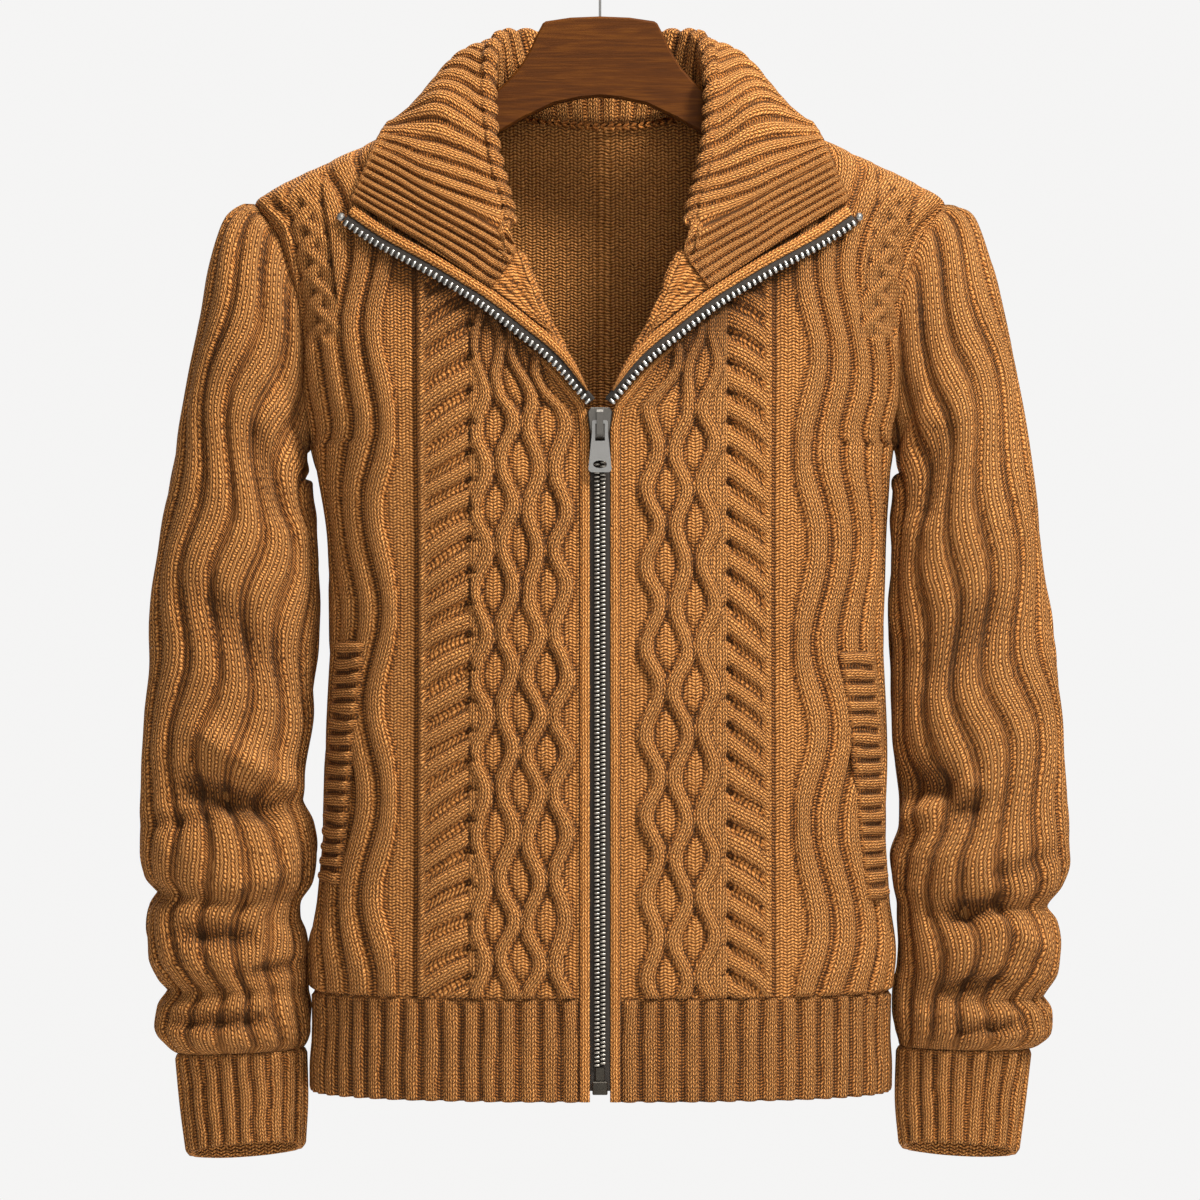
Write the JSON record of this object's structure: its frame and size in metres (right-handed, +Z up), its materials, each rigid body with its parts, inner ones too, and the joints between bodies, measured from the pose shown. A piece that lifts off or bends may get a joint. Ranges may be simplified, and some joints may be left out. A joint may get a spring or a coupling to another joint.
{
  "type": "cable knit zip cardigan on a wooden hanger",
  "caption": "Thick cable knit cardigan with an open-ended zip front, a ribbed collar turned out over the shoulders, ribbed hem and cuffs, on a flat wooden hanger.",
  "frame": {"origin": "seat of the hanger's hook, where it rests on a rail", "axes": "+Z up along the hanging garment, -Y towards the zip front, +X towards the wearer's left sleeve"},
  "size_m": [0.6227, 0.1903, 0.8363],
  "materials": {
    "wool": "soft matt wool in caramel brown",
    "wood": "dark walnut, satin",
    "steel": "nickel, satin",
    "tape": "dark brown woven zip tape with metal teeth",
    "gunmetal": "dark burnished metal"
  },
  "bodies": {
    "garment": {"front_left": "wool", "front_right": "wool", "back": "wool", "hem_front_left": "wool", "hem_front_right": "wool", "hem_back": "wool", "sleeve_left": "wool", "sleeve_right": "wool", "cuff_left": "wool", "cuff_right": "wool", "collar": "wool", "band_left": "wool", "band_right": "wool", "turned_band_left": "wool", "turned_band_right": "wool", "lapel_left": "wool", "lapel_right": "wool", "pocket_welt_left": "wool", "pocket_welt_right": "wool", "zip_chain": "tape", "zip_side_left": "tape", "zip_side_right": "tape", "zip_stop_left": "steel", "zip_stop_right": "steel", "zip_box": "gunmetal", "zip_pin": "gunmetal", "zip_slider": "steel", "hanger_body": "wood", "hanger_hook": "steel"},
    "pull_tab": {"zip_pull": "steel"}
  },
  "joints": [
    {"name": "pull_tab_hinge", "type": "hinge", "parent": "garment", "child": "pull_tab", "pos_m": [0, -0.099, -0.3387], "axis": [-1, 0, 0], "range_deg": [0, 150]}
  ]
}
